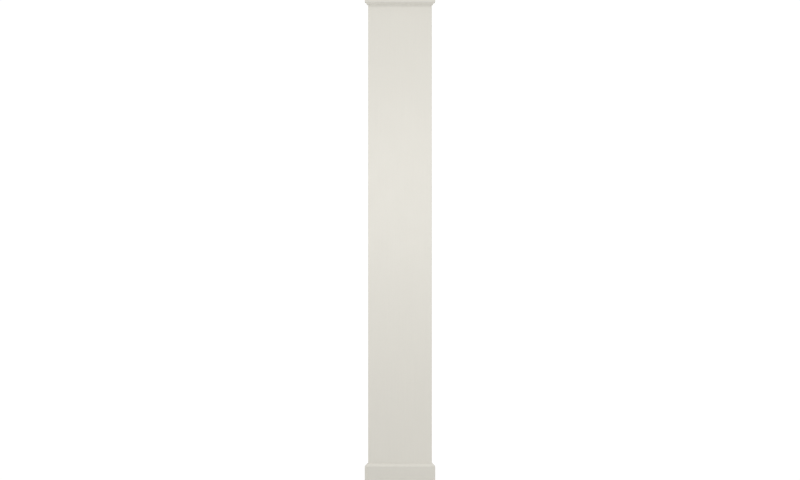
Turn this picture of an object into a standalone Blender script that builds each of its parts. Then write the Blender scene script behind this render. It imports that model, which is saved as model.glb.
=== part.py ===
"""A square column wrap, built as the boards that are fixed round a structural porch post.

Four full-height foamed boards meet at the corners in a tongued mitre and make the hollow shaft. Four
mitred boards are fixed round its foot as the base moulding, and four round its head as the cap moulding.
Each moulding board has its exposed end bevelled back towards the shaft.

The origin is at the middle of the underside, and the front faces -Y.
"""

import math

import bmesh
import bpy

# Driving dimensions, in metres
HEIGHT = 2.4384
SHAFT_WIDTH = 0.3048
SHAFT_BOARD = 0.0127
TONGUE_THICKNESS = 0.0035
TONGUE_STEP = 0.0016
BASE_HEIGHT = 0.1397
CAP_HEIGHT = 0.10795
MOULDING_BOARD = 0.015875
BEVEL_LAND = 0.0015
CLEARANCE = 0.0003

# Name of each side, in quarter turns from the front
SIDES = ("front", "right", "back", "left")

# Linear colour and roughness of the factory finish
SHAFT_FINISH = ((0.776, 0.753, 0.686, 1.0), 0.42)
MOULDING_FINISH = ((0.748, 0.726, 0.661, 1.0), 0.42)

HALF_SHAFT = SHAFT_WIDTH / 2
MOULDING_BACK = HALF_SHAFT + CLEARANCE
MOULDING_FACE = MOULDING_BACK + MOULDING_BOARD
# Each side of a 45 degree mitre draws back this far along its board, which opens it by CLEARANCE.
MITRE_DRAW = CLEARANCE / math.sqrt(2)


def clear_scene():
    for old in list(bpy.data.objects):
        bpy.data.objects.remove(old, do_unlink=True)


def finish_material(name, finish):
    colour, roughness = finish
    material = bpy.data.materials.new(name)
    material.use_nodes = True
    shader = material.node_tree.nodes["Principled BSDF"]
    shader.inputs["Base Color"].default_value = colour
    shader.inputs["Roughness"].default_value = roughness
    shader.inputs["Metallic"].default_value = 0.0
    return material


def tongue_sides():
    """How far the tongue's two sides and its tip lie from the corner: outer side, inner side, tip."""
    outer = (SHAFT_BOARD - TONGUE_THICKNESS) / 2
    return outer, outer + TONGUE_THICKNESS, outer - TONGUE_STEP


def tongued_edge():
    """A shaft board's mitred edge with the tongue, as (depth from its face, distance from the corner)."""
    outer, inner, tip = tongue_sides()
    return [
        (0, MITRE_DRAW),
        (outer, outer + MITRE_DRAW),
        (outer, tip),
        (inner, tip),
        (inner, inner + MITRE_DRAW),
        (SHAFT_BOARD, SHAFT_BOARD + MITRE_DRAW),
    ]


def grooved_edge():
    """The edge that takes the tongue, in the same terms, with clearance all round it."""
    outer, inner, tip = tongue_sides()
    mouth, far_side, floor = outer - CLEARANCE, inner + CLEARANCE, tip - CLEARANCE
    return [
        (0, MITRE_DRAW),
        (mouth - MITRE_DRAW, mouth),
        (floor, mouth),
        (floor, far_side),
        (far_side - MITRE_DRAW, far_side),
        (SHAFT_BOARD, SHAFT_BOARD + MITRE_DRAW),
    ]


def shaft_board(edge):
    """A full-height board whose face looks towards -Y, with the same edge at both sides."""
    right = [(HALF_SHAFT - along, depth - HALF_SHAFT) for depth, along in edge]
    left = [(-x, y) for x, y in reversed(right)]
    bm = bmesh.new()
    foot = bm.faces.new([bm.verts.new((x, y, 0)) for x, y in right + left])
    head = bmesh.ops.extrude_face_region(bm, geom=[foot])["geom"]
    corners = [v for v in head if isinstance(v, bmesh.types.BMVert)]
    bmesh.ops.translate(bm, verts=corners, vec=(0, 0, HEIGHT))
    return bm


def moulding_profile(height):
    """A moulding board's section from its foot, as (distance from the middle of the shaft, height)."""
    land = MOULDING_BACK + BEVEL_LAND
    return [
        (MOULDING_BACK, 0),
        (MOULDING_FACE, 0),
        (MOULDING_FACE, height - (MOULDING_FACE - land)),
        (land, height),
        (MOULDING_BACK, height),
    ]


def moulding_board(height):
    """A board standing on its square end, run along X over the front and sawn to a mitre at both ends."""
    bm = bmesh.new()
    start = bm.faces.new([bm.verts.new((-MOULDING_FACE, -out, z)) for out, z in moulding_profile(height)])
    run = bmesh.ops.extrude_face_region(bm, geom=[start])["geom"]
    corners = [v for v in run if isinstance(v, bmesh.types.BMVert)]
    bmesh.ops.translate(bm, verts=corners, vec=(2 * MOULDING_FACE, 0, 0))
    for side in (1, -1):
        saw_mitre(bm, side)
    return bm


def saw_mitre(bm, side):
    """Cuts one end along the corner's 45 degree plane, drawn back by its share of the clearance."""
    bmesh.ops.bisect_plane(
        bm,
        geom=bm.verts[:] + bm.edges[:] + bm.faces[:],
        plane_co=(-side * MITRE_DRAW, 0, 0),
        plane_no=(side, 1, 0),
        clear_outer=True,
    )
    bmesh.ops.holes_fill(bm, edges=bm.edges[:], sides=0)


def add_piece(name, bm, material, carrier, turn, upside_down_from=None):
    """Makes the finished mesh one named object, turned about the column's axis and held by carrier.

    A piece that goes upside down is given the height that its foot end goes up to.
    """
    bmesh.ops.recalc_face_normals(bm, faces=bm.faces[:])
    mesh = bpy.data.meshes.new(name)
    bm.to_mesh(mesh)
    bm.free()
    mesh.materials.append(material)
    piece = bpy.data.objects.new(name, mesh)
    bpy.context.scene.collection.objects.link(piece)
    piece.parent = carrier
    piece.rotation_euler.z = turn
    if upside_down_from is not None:
        piece.rotation_euler.y = math.pi
        piece.location.z = upside_down_from


def build():
    clear_scene()
    column = bpy.data.objects.new("column_wrap", None)
    bpy.context.scene.collection.objects.link(column)
    board_finish = finish_material("shaft_board", SHAFT_FINISH)
    moulding_finish = finish_material("moulding_board", MOULDING_FINISH)
    for quarter, side in enumerate(SIDES):
        turn = quarter * math.pi / 2
        # The front and back boards are grooved, and the two between them are tongued.
        edge = tongued_edge() if quarter % 2 else grooved_edge()
        add_piece(f"shaft_panel_{side}", shaft_board(edge), board_finish, column, turn)
        add_piece(f"base_moulding_{side}", moulding_board(BASE_HEIGHT), moulding_finish, column, turn)
        cap = moulding_board(CAP_HEIGHT)
        add_piece(f"cap_moulding_{side}", cap, moulding_finish, column, turn, upside_down_from=HEIGHT)


build()
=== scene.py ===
"""The looks of a square column wrap: its finished boards, on a pale floor in soft studio light."""

import math

import bmesh
import bpy
from mathutils import Matrix, Vector


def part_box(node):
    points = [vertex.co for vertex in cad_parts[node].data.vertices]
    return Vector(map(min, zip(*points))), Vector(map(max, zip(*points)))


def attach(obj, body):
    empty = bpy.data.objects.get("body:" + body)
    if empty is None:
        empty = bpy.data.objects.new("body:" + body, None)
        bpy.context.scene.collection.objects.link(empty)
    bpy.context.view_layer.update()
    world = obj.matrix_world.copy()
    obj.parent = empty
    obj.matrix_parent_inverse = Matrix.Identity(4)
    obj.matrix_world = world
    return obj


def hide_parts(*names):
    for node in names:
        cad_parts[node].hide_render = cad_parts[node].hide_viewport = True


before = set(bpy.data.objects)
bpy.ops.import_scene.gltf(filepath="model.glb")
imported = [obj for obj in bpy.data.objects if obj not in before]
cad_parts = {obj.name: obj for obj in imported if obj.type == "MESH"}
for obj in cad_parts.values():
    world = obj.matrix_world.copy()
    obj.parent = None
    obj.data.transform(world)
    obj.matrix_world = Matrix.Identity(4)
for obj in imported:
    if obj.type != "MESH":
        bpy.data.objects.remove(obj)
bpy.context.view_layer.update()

# The sides, in quarter turns from the front
SIDES = ("front", "right", "back", "left")

# A board's material slots: its shown face, what is sawn, and the back that is glued
FACE, SAWN, BACK = range(3)

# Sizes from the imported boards, in metres
SHAFT_LOW, SHAFT_HIGH = (Vector(corner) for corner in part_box("shaft_panel_front"))
BASE_LOW, BASE_HIGH = (Vector(corner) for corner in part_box("base_moulding_front"))
CAP_LOW, CAP_HIGH = (Vector(corner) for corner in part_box("cap_moulding_front"))
HEIGHT = SHAFT_HIGH.z
HALF_SHAFT = -SHAFT_LOW.y
SHAFT_BOARD = SHAFT_HIGH.y - SHAFT_LOW.y
MOULDING_BACK = -BASE_HIGH.y
MOULDING_FACE = -BASE_LOW.y
MOULDING_BOARD = MOULDING_FACE - MOULDING_BACK

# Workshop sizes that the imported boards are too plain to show, in metres
HAIRLINE = 0.0002  # what still shows of a glued joint
SHAFT_EASE = 0.0012  # rounding of the shaft's corners, shared by the two boards that meet there
SHAFT_EASE_STEPS = 6  # facets of that rounding on each board
MOULDING_EASE = 0.0007  # rounding of the mouldings' shown edges
MOULDING_EASE_STEPS = 3
BEVEL_LAND = 0.0015  # thin edge left where a moulding's bevel meets the shaft
TONGUE_THICKNESS = 0.0035
TONGUE_STEP = 0.0016
TONGUE_PLAY = 0.0003
SKIN = 0.0009  # hard skin on a foamed board
MITRE_DRAW = HAIRLINE / math.sqrt(2)

# How faces are told apart by the way they look, and edges by how sharply they turn
STRAIGHT = 0.99  # least share of a direction in the normal of a face that looks straight that way
SLANTED = 0.5  # and of a face that looks at least partly that way
CRISP_TURN = math.radians(30)
FLAT_FIRST = 100  # weight at which a flat face keeps its shading and its rounding takes the turn

# Colours of the shaft's boards and of the mouldings, linear: the shaft's is its factory finish, and the
# mouldings' is that finish a little darker, painted shade for how much darker their faces look in this
# light
SHAFT_COLOUR = (0.776, 0.753, 0.686)
MOULDING_SHADED_COLOUR = (0.748, 0.726, 0.661)
SKIN_IOR, FOAM_IOR = 1.46, 1.4

# The darkest and lightest tone of each finish, as shares of its colour
SKIN_TONES = (0.93, 1.07)
BACK_TONES = (0.98, 1.06)
CORE_TONES = (0.86, 1.12)
EVEN_TONE = 0.5  # halfway between the two, which is also a pattern's average

# Patterns of the finishes, in cells per metre: along a board's run and across it, or the same each way
TONE_DRIFT = (1.4, 2.2)
SHEEN_DRIFT = (9, 14)
DRAW_LINES = (3, 420)
WAVES = (1.5, 9)
STIPPLE = (900, 900)
BACK_DRIFT = (3, 3)
ROLLER_MARKS = (160, 9)
FOAM_CELLS = 2600
SAW_MARKS = (30, 700, 30)
FLOOR_CLOUDS = (0.9, 0.9, 0.9)

# How deep those patterns stand, in metres
STIPPLE_DEPTH = 0.00010
WAVE_DEPTH = 0.00012
ROLLER_DEPTH = 0.00005
FOAM_DEPTH = 0.00012

# How much each pattern swings the tone, from 0 at its darkest to 1 at its lightest
DRIFT_TONE, LINES_TONE, STIPPLE_TONE = 0.4, 0.35, 0.6
BACK_DRIFT_TONE, MARKS_TONE = 0.8, 0.5
FOAM_TONE = 0.55  # the sawn core's own tone, which its hard edges, open cells and saw marks change
EDGE_TONE, CELLS_TONE, SAW_TONE = 0.25, 0.6, 0.2

# Roughness of each surface, and how much its patterns swing it
SKIN_ROUGH, SHEEN_ROUGH, STIPPLE_ROUGH = 0.44, 0.14, 0.16
BACK_ROUGH, MARKS_ROUGH = 0.55, 0.16
FOAM_ROUGH, EDGE_SMOOTHER = 0.9, 0.3
FLOOR_ROUGH = 0.6

# Shares of the patterns in the fine relief
LINES_RELIEF, STIPPLE_RELIEF = 0.3, 0.7
SAW_RELIEF = 0.4

# The photograph's frame, and what it shows of the column in pixels
FRAME_WIDE_PX, FRAME_TALL_PX = 800, 480
SHAFT_WIDE_PX = 63.8
BASE_BEVEL_TOP_PX = 463.4  # row where the shaft meets the base moulding

# The camera and the studio, in metres unless they say otherwise
CAMERA_AWAY = 100.0
SENSOR_MM = 36.0
FLOOR_SOLID, FLOOR_EDGE = 1.0, 4.5  # the floor fades into the white surround between these radii
FLOOR_SIDES = 96
FLOOR_DARKEST, FLOOR_LIGHTEST = (0.74, 0.74, 0.735), (0.78, 0.78, 0.775)
WHITE = (1.0, 1.0, 1.0, 1.0)
WHITE_SEEN, SOFT_WHITE = 1.05, 0.609  # strength of the white surround to the camera, and as light

# The soft panels of light: place, point faced, width and height in metres, and power in watts
MIDDLE = (0, 0, HEIGHT / 2)
PANELS = {
    "high_front": ((0, -3.51, 7.3), (0, -HALF_SHAFT, 2.0), (1.6, 0.8), 73.8),
    "near_front": ((0, -2.0, 1.45), (0, 0, 1.45), (0.8, 0.8), 9.1),
    "overhead": ((0, -1.2, 6.0), (0, -1.2, 0), (2.4, 1.0), 10.6),
    "right": ((3.2, 0.6, 1.9), MIDDLE, (1.6, 2.4), 18.0),
    "left": ((-3.2, 0.6, 1.9), MIDDLE, (1.6, 2.4), 9.0),
    "back": ((0, 3.4, 1.9), MIDDLE, (1.6, 2.4), 27.0),
}


class Reading:
    """A value that changes over a surface. Arithmetic on readings adds the Math nodes."""

    def __init__(self, nodes, socket):
        self.nodes = nodes
        self.socket = socket

    def other(self, name):
        """Another output of the node that this reading comes from."""
        return Reading(self.nodes, self.socket.node.outputs[name])

    def __add__(self, other):
        return self.nodes.maths("ADD", self, other)

    def __radd__(self, other):
        return self.nodes.maths("ADD", other, self)

    def __sub__(self, other):
        return self.nodes.maths("SUBTRACT", self, other)

    def __rsub__(self, other):
        return self.nodes.maths("SUBTRACT", other, self)

    def __mul__(self, other):
        return self.nodes.maths("MULTIPLY", self, other)

    def __rmul__(self, other):
        return self.nodes.maths("MULTIPLY", other, self)

    def __gt__(self, other):
        return self.nodes.maths("GREATER_THAN", self, other)


class Nodes:
    """A node tree. node() adds any node: its settings first, then its sockets' values or links."""

    def __init__(self, tree):
        self.tree = tree

    def node(self, kind, settings=None, sockets=None, out=0):
        made = self.tree.nodes.new(kind)
        for name, value in (settings or {}).items():
            setattr(made, name, value)
        for name, value in (sockets or {}).items():
            self.feed(made.inputs[name], value)
        return Reading(self, made.outputs[out])

    def feed(self, socket, value):
        if isinstance(value, Reading):
            self.tree.links.new(value.socket, socket)
        else:
            socket.default_value = value

    def maths(self, operation, first, second=0.0):
        return self.node("ShaderNodeMath", {"operation": operation}, {0: first, 1: second})

    def mix(self, share, start, end):
        """A colour between start and end. The Mix node's colour sockets are its seventh and eighth."""
        sockets = {0: share, 6: (*start, 1.0), 7: (*end, 1.0)}
        return self.node("ShaderNodeMix", {"data_type": "RGBA"}, sockets, out=2)

    def noise(self, place, stretch, detail=2.0, roughness=0.5):
        """Soft noise whose cells per metre along X, Y and Z are in stretch. It is 0.5 on average."""
        spot = self.node("ShaderNodeVectorMath", {"operation": "MULTIPLY"}, {0: place, 1: stretch})
        sockets = {"Vector": spot, "Scale": 1.0, "Detail": detail, "Roughness": roughness}
        return self.node("ShaderNodeTexNoise", sockets=sockets)


class Finish(Nodes):
    """One surface finish. What is even all over sits on the shader's own sockets."""

    def __init__(self, name, **even):
        self.material = bpy.data.materials.new(name)
        self.material.use_nodes = True
        super().__init__(self.material.node_tree)
        self.shader = self.tree.nodes["Principled BSDF"]
        for socket, value in even.items():
            self.feed(self.shader.inputs[socket.replace("_", " ")], value)
        self.place = self.node("ShaderNodeTexCoord", out="Object")

    def shade(self, **varying):
        """Feeds what changes over the surface to the shader, and hands over the finished material."""
        for socket, value in varying.items():
            self.feed(self.shader.inputs[socket.replace("_", " ")], value)
        return self.material

    def tone(self, share, colour, tones):
        """The colour from its darkest tone to its lightest, as the share goes from 0 to 1."""
        darkest, lightest = (tuple(min(1.0, channel * tone) for channel in colour) for tone in tones)
        return self.mix(share, darkest, lightest)

    def relief(self, height, depth, under=None):
        """Fine relief, on top of the relief under it. Depth is in metres for a height from 0 to 1."""
        sockets = {"Height": height, "Distance": depth}
        if under is not None:
            sockets["Normal"] = under
        return self.node("ShaderNodeBump", sockets=sockets, out="Normal")


def swung(middle, *patterns):
    """A value about middle. Each pattern, 0.5 on average, comes with how much it swings the value."""
    for pattern, swing in patterns:
        middle = middle + (pattern - EVEN_TONE) * swing
    return middle


def following(run, cells):
    """A pattern's cells per metre along X, Y and Z, for a board that runs along the axis named run."""
    along, across = cells
    return tuple(along if axis == run else across for axis in "xyz")


def board_skin(name, run, colour):
    """Satin factory finish: faint draw lines along the board's run, under the roller's fine stipple."""
    skin = Finish(name, IOR=SKIN_IOR)
    drift = skin.noise(skin.place, following(run, TONE_DRIFT), detail=3)
    sheen = skin.noise(skin.place, following(run, SHEEN_DRIFT), detail=3)
    lines = skin.noise(skin.place, following(run, DRAW_LINES), detail=3)
    waves = skin.noise(skin.place, following(run, WAVES), detail=1)
    stipple = skin.noise(skin.place, following(run, STIPPLE), detail=2)
    share = swung(EVEN_TONE, (drift, DRIFT_TONE), (lines, LINES_TONE), (stipple, STIPPLE_TONE))
    rolled = skin.relief(lines * LINES_RELIEF + stipple * STIPPLE_RELIEF, STIPPLE_DEPTH)
    return skin.shade(
        Base_Color=skin.tone(share, colour, SKIN_TONES),
        Roughness=swung(SKIN_ROUGH, (sheen, SHEEN_ROUGH), (stipple, STIPPLE_ROUGH)),
        Normal=skin.relief(waves, WAVE_DEPTH, under=rolled),
    )


def board_back(name, run, colour):
    """The face that is glued against what carries it: bare skin, a little whiter, with roller marks."""
    back = Finish(name, IOR=SKIN_IOR)
    drift = back.noise(back.place, following(run, BACK_DRIFT), detail=4)
    marks = back.noise(back.place, following(run, ROLLER_MARKS), detail=3)
    share = swung(EVEN_TONE, (drift, BACK_DRIFT_TONE), (marks, MARKS_TONE))
    return back.shade(
        Base_Color=back.tone(share, colour, BACK_TONES),
        Roughness=swung(BACK_ROUGH, (marks, MARKS_ROUGH)),
        Normal=back.relief(marks, ROLLER_DEPTH),
    )


def sawn_core(name, colour, back_out, board):
    """A sawn face: fine open cells in the foamed core and the saw's marks, between two thin hard skins.

    The board's back lies back_out from the middle of the shaft, and the board is so thick.
    """
    core = Finish(name, IOR=FOAM_IOR)
    sideways = core.node("ShaderNodeSeparateXYZ", sockets={0: core.place}, out="X")
    forward = sideways.other("Y")
    out = core.maths("MAXIMUM", core.maths("ABSOLUTE", sideways), core.maths("ABSOLUTE", forward))
    from_middle = core.maths("ABSOLUTE", out - (back_out + board / 2))
    skin = from_middle > board / 2 - SKIN
    grid = {"Vector": core.place, "Scale": FOAM_CELLS}
    cells = core.node("ShaderNodeTexVoronoi", {"feature": "SMOOTH_F1"}, grid, out="Distance")
    saw = core.noise(core.place, SAW_MARKS, detail=2)
    open_cells = cells * (1 - skin)
    share = swung(FOAM_TONE + skin * EDGE_TONE - open_cells * CELLS_TONE, (saw, SAW_TONE))
    return core.shade(
        Base_Color=core.tone(share, colour, CORE_TONES),
        Roughness=FOAM_ROUGH - skin * EDGE_SMOOTHER,
        Normal=core.relief(saw * SAW_RELIEF - open_cells, FOAM_DEPTH),
    )


def board_finishes(name, run, colour, sawn):
    """The finishes of a board's face, of its sawn parts and of its back, in the order of its slots."""
    face = board_skin(f"{name}_skin_{run}", run, colour)
    return [face, sawn, board_back(f"{name}_back_{run}", run, colour)]


def pale_floor():
    """The studio's floor, plain but for a faint clouding, fading into the white surround."""
    ground = Finish("pale_floor", Roughness=FLOOR_ROUGH)
    clouds = ground.noise(ground.place, FLOOR_CLOUDS, detail=4)
    away = ground.node("ShaderNodeVectorMath", {"operation": "LENGTH"}, {0: ground.place}, out="Value")
    fade = {"Value": away, "From Min": FLOOR_SOLID, "From Max": FLOOR_EDGE, "To Min": 1.0, "To Max": 0.0}
    return ground.shade(
        Base_Color=ground.mix(clouds, FLOOR_DARKEST, FLOOR_LIGHTEST),
        Alpha=ground.node("ShaderNodeMapRange", {"interpolation_type": "SMOOTHERSTEP"}, fade),
    )


def eased_corner():
    """A shaft board's rounded corner up to its mitre, as (depth from its face, way from the corner)."""
    last = math.acos(MITRE_DRAW / (SHAFT_EASE * math.sqrt(2))) - math.pi / 4
    turns = [last * step / SHAFT_EASE_STEPS for step in range(SHAFT_EASE_STEPS + 1)]
    return [(SHAFT_EASE * (1 - math.cos(t)), SHAFT_EASE * (1 - math.sin(t))) for t in turns]


def lock(tongued):
    """The mitre past its eased corner: a tongue, or the groove that takes one, and the inner edge."""
    outer = (SHAFT_BOARD - TONGUE_THICKNESS) / 2
    inner = outer + TONGUE_THICKNESS
    tip = outer - TONGUE_STEP
    inside = (SHAFT_BOARD, SHAFT_BOARD + MITRE_DRAW)
    if tongued:
        step = [(outer, outer + MITRE_DRAW), (outer, tip), (inner, tip), (inner, inner + MITRE_DRAW)]
        return step + [inside]
    mouth, far, floor = outer - TONGUE_PLAY, inner + TONGUE_PLAY, tip - TONGUE_PLAY
    return [(mouth - MITRE_DRAW, mouth), (floor, mouth), (floor, far), (far - MITRE_DRAW, far), inside]


def shaft_board(tongued):
    """A full-height board over the front, drawn in plan and extruded up."""
    right = [(HALF_SHAFT - way, depth - HALF_SHAFT) for depth, way in eased_corner() + lock(tongued)]
    left = [(-x, y) for x, y in reversed(right)]
    bm = bmesh.new()
    foot = bm.faces.new([bm.verts.new((x, y, 0)) for x, y in right + left])
    head = bmesh.ops.extrude_face_region(bm, geom=[foot])["geom"]
    corners = [v for v in head if isinstance(v, bmesh.types.BMVert)]
    bmesh.ops.translate(bm, verts=corners, vec=(0, 0, HEIGHT))
    mark_shaft_faces(bm)
    return bm


def moulding_ring(height):
    """The moulding right round the column, base way up: its section turned through the four corners."""
    land = MOULDING_BACK + BEVEL_LAND
    shoulder = height - (MOULDING_FACE - land)
    face = [(MOULDING_FACE, 0), (MOULDING_FACE, shoulder)]
    section = [(MOULDING_BACK, 0), *face, (land, height), (MOULDING_BACK, height)]
    bm = bmesh.new()
    corner = [bm.verts.new((-out, -out, z)) for out, z in section]
    sides = [bm.edges.new(pair) for pair in zip(corner, corner[1:] + corner[:1])]
    bmesh.ops.spin(
        bm, geom=corner + sides, axis=(0, 0, 1), cent=(0, 0, 0), angle=math.tau, steps=4, use_merge=True
    )
    bmesh.ops.recalc_face_normals(bm, faces=bm.faces[:])
    return bm


def ease_shown_edges(bm):
    """Rounds every edge that isn't against the shaft."""
    nearest = MOULDING_BACK + BEVEL_LAND / 2
    shown = [e for e in bm.edges if all(max(abs(v.co.x), abs(v.co.y)) > nearest for v in e.verts)]
    bmesh.ops.bevel(
        bm, geom=shown, offset=MOULDING_EASE, offset_type="OFFSET", segments=MOULDING_EASE_STEPS,
        profile=0.5, affect="EDGES", clamp_overlap=True, material=-1,
    )


def saw_front(bm):
    """Saws the ring at its two front corners and keeps the front length, with its mitres closed."""
    for side in (1, -1):
        ring = bm.verts[:] + bm.edges[:] + bm.faces[:]
        start = (-side * MITRE_DRAW, 0, 0)
        bmesh.ops.bisect_plane(bm, geom=ring, plane_co=start, plane_no=(side, 1, 0), clear_outer=True)
        bmesh.ops.holes_fill(bm, edges=[e for e in bm.edges if e.is_boundary], sides=0)


def moulding_board(height, upside_down):
    """The front length of the base moulding, or upside down at the head that of the cap moulding."""
    bm = moulding_ring(height)
    ease_shown_edges(bm)
    saw_front(bm)
    if upside_down:
        bmesh.ops.scale(bm, verts=bm.verts[:], vec=(1, 1, -1))
        bmesh.ops.translate(bm, verts=bm.verts[:], vec=(0, 0, HEIGHT))
    mark_moulding_faces(bm)
    return bm


def mark_shaft_faces(bm):
    """The outer face and its rounded corners are shown, the inner face is the back, the rest is sawn."""
    bmesh.ops.recalc_face_normals(bm, faces=bm.faces[:])
    for face in bm.faces:
        depth = face.calc_center_median().y + HALF_SHAFT
        end = abs(face.normal.z) > STRAIGHT
        inner = face.normal.y > STRAIGHT and depth > SHAFT_BOARD - SKIN
        face.material_index = BACK if inner else FACE if depth < SHAFT_EASE and not end else SAWN


def mark_moulding_faces(bm):
    """The mitres look half backwards and are sawn, and only the back looks straight that way."""
    bmesh.ops.recalc_face_normals(bm, faces=bm.faces[:])
    for face in bm.faces:
        backwards = face.normal.y
        face.material_index = BACK if backwards > STRAIGHT else SAWN if backwards > SLANTED else FACE


def finished(node, bm, quarter, finishes):
    """Turns the front board to its side and hands it over as the finished piece for its node."""
    turn = quarter * math.pi / 2
    bmesh.ops.rotate(bm, verts=bm.verts[:], cent=(0, 0, 0), matrix=Matrix.Rotation(turn, 3, "Z"))
    mesh = bpy.data.meshes.new(node + "_finished")
    bm.to_mesh(mesh)
    bm.free()
    for finish in finishes:
        mesh.materials.append(finish)
    mesh.shade_smooth()
    mesh.set_sharp_from_angle(angle=CRISP_TURN)
    piece = bpy.data.objects.new(node + "_finished", mesh)
    bpy.context.scene.collection.objects.link(piece)
    even = piece.modifiers.new("even_faces", "WEIGHTED_NORMAL")
    even.keep_sharp = True
    even.weight = FLAT_FIRST
    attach(piece, "root")
    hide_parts(node)
    return piece


def build_boards():
    """Makes each side's three boards. The shaft's side boards are tongued, its front and back grooved."""
    shaft_core = sawn_core("shaft_core", SHAFT_COLOUR, HALF_SHAFT - SHAFT_BOARD, SHAFT_BOARD)
    # The mouldings' colour is the shaft's a little darker: painted shade on their faces
    moulding_core = sawn_core("moulding_core", MOULDING_SHADED_COLOUR, MOULDING_BACK, MOULDING_BOARD)
    on_shaft = board_finishes("shaft", "z", SHAFT_COLOUR, shaft_core)
    on_moulding = {run: board_finishes("moulding", run, MOULDING_SHADED_COLOUR, moulding_core) for run in "xy"}
    for quarter, side in enumerate(SIDES):
        beside = quarter % 2 == 1
        trim = on_moulding["y" if beside else "x"]
        shaft = shaft_board(tongued=beside)
        base = moulding_board(BASE_HIGH.z, upside_down=False)
        cap = moulding_board(CAP_HIGH.z - CAP_LOW.z, upside_down=True)
        finished(f"shaft_panel_{side}", shaft, quarter, on_shaft)
        finished(f"base_moulding_{side}", base, quarter, trim)
        finished(f"cap_moulding_{side}", cap, quarter, trim)


def lay_floor():
    """A round floor, as wide as its colour reaches."""
    bm = bmesh.new()
    bmesh.ops.create_circle(bm, cap_ends=True, radius=FLOOR_EDGE, segments=FLOOR_SIDES)
    mesh = bpy.data.meshes.new("floor")
    bm.to_mesh(mesh)
    bm.free()
    mesh.materials.append(pale_floor())
    ground = bpy.data.objects.new("floor", mesh)
    bpy.context.scene.collection.objects.link(ground)


def light_studio():
    """Hangs every soft panel, facing its point. The camera doesn't see them."""
    for name, (place, faced, (wide, tall), power) in PANELS.items():
        data = bpy.data.lights.new(name, "AREA")
        data.shape = "RECTANGLE"
        data.size = wide
        data.size_y = tall
        data.energy = power
        panel = bpy.data.objects.new(name, data)
        panel.location = place
        panel.rotation_euler = (Vector(faced) - Vector(place)).to_track_quat("-Z", "Y").to_euler()
        panel.visible_camera = False
        bpy.context.scene.collection.objects.link(panel)


def white_surround():
    """White behind the column where the camera looks, and a softer white as light."""
    world = bpy.data.worlds.new("surround")
    bpy.context.scene.world = world
    world.use_nodes = True
    around = Nodes(world.node_tree)
    background = world.node_tree.nodes["Background"]
    seen = around.node("ShaderNodeLightPath", out="Is Camera Ray")
    background.inputs["Color"].default_value = WHITE
    around.feed(background.inputs["Strength"], seen * (WHITE_SEEN - SOFT_WHITE) + SOFT_WHITE)


def set_camera():
    """Level and square to the front, with the frame's scale taken at the shaft's front face."""
    metres_per_px = 2 * HALF_SHAFT / SHAFT_WIDE_PX
    data = bpy.data.cameras.new("camera")
    data.sensor_width = SENSOR_MM
    data.lens = SENSOR_MM * CAMERA_AWAY / (FRAME_WIDE_PX * metres_per_px)
    data.clip_end = 2 * CAMERA_AWAY
    camera = bpy.data.objects.new("camera", data)
    eye_height = BASE_HIGH.z + (BASE_BEVEL_TOP_PX - FRAME_TALL_PX / 2) * metres_per_px
    camera.location = (0, -HALF_SHAFT - CAMERA_AWAY, eye_height)
    camera.rotation_euler = (math.pi / 2, 0, 0)
    bpy.context.scene.collection.objects.link(camera)
    bpy.context.scene.camera = camera


set_camera()
build_boards()
lay_floor()
light_studio()
white_surround()
bpy.context.scene.view_settings.view_transform = "Standard"
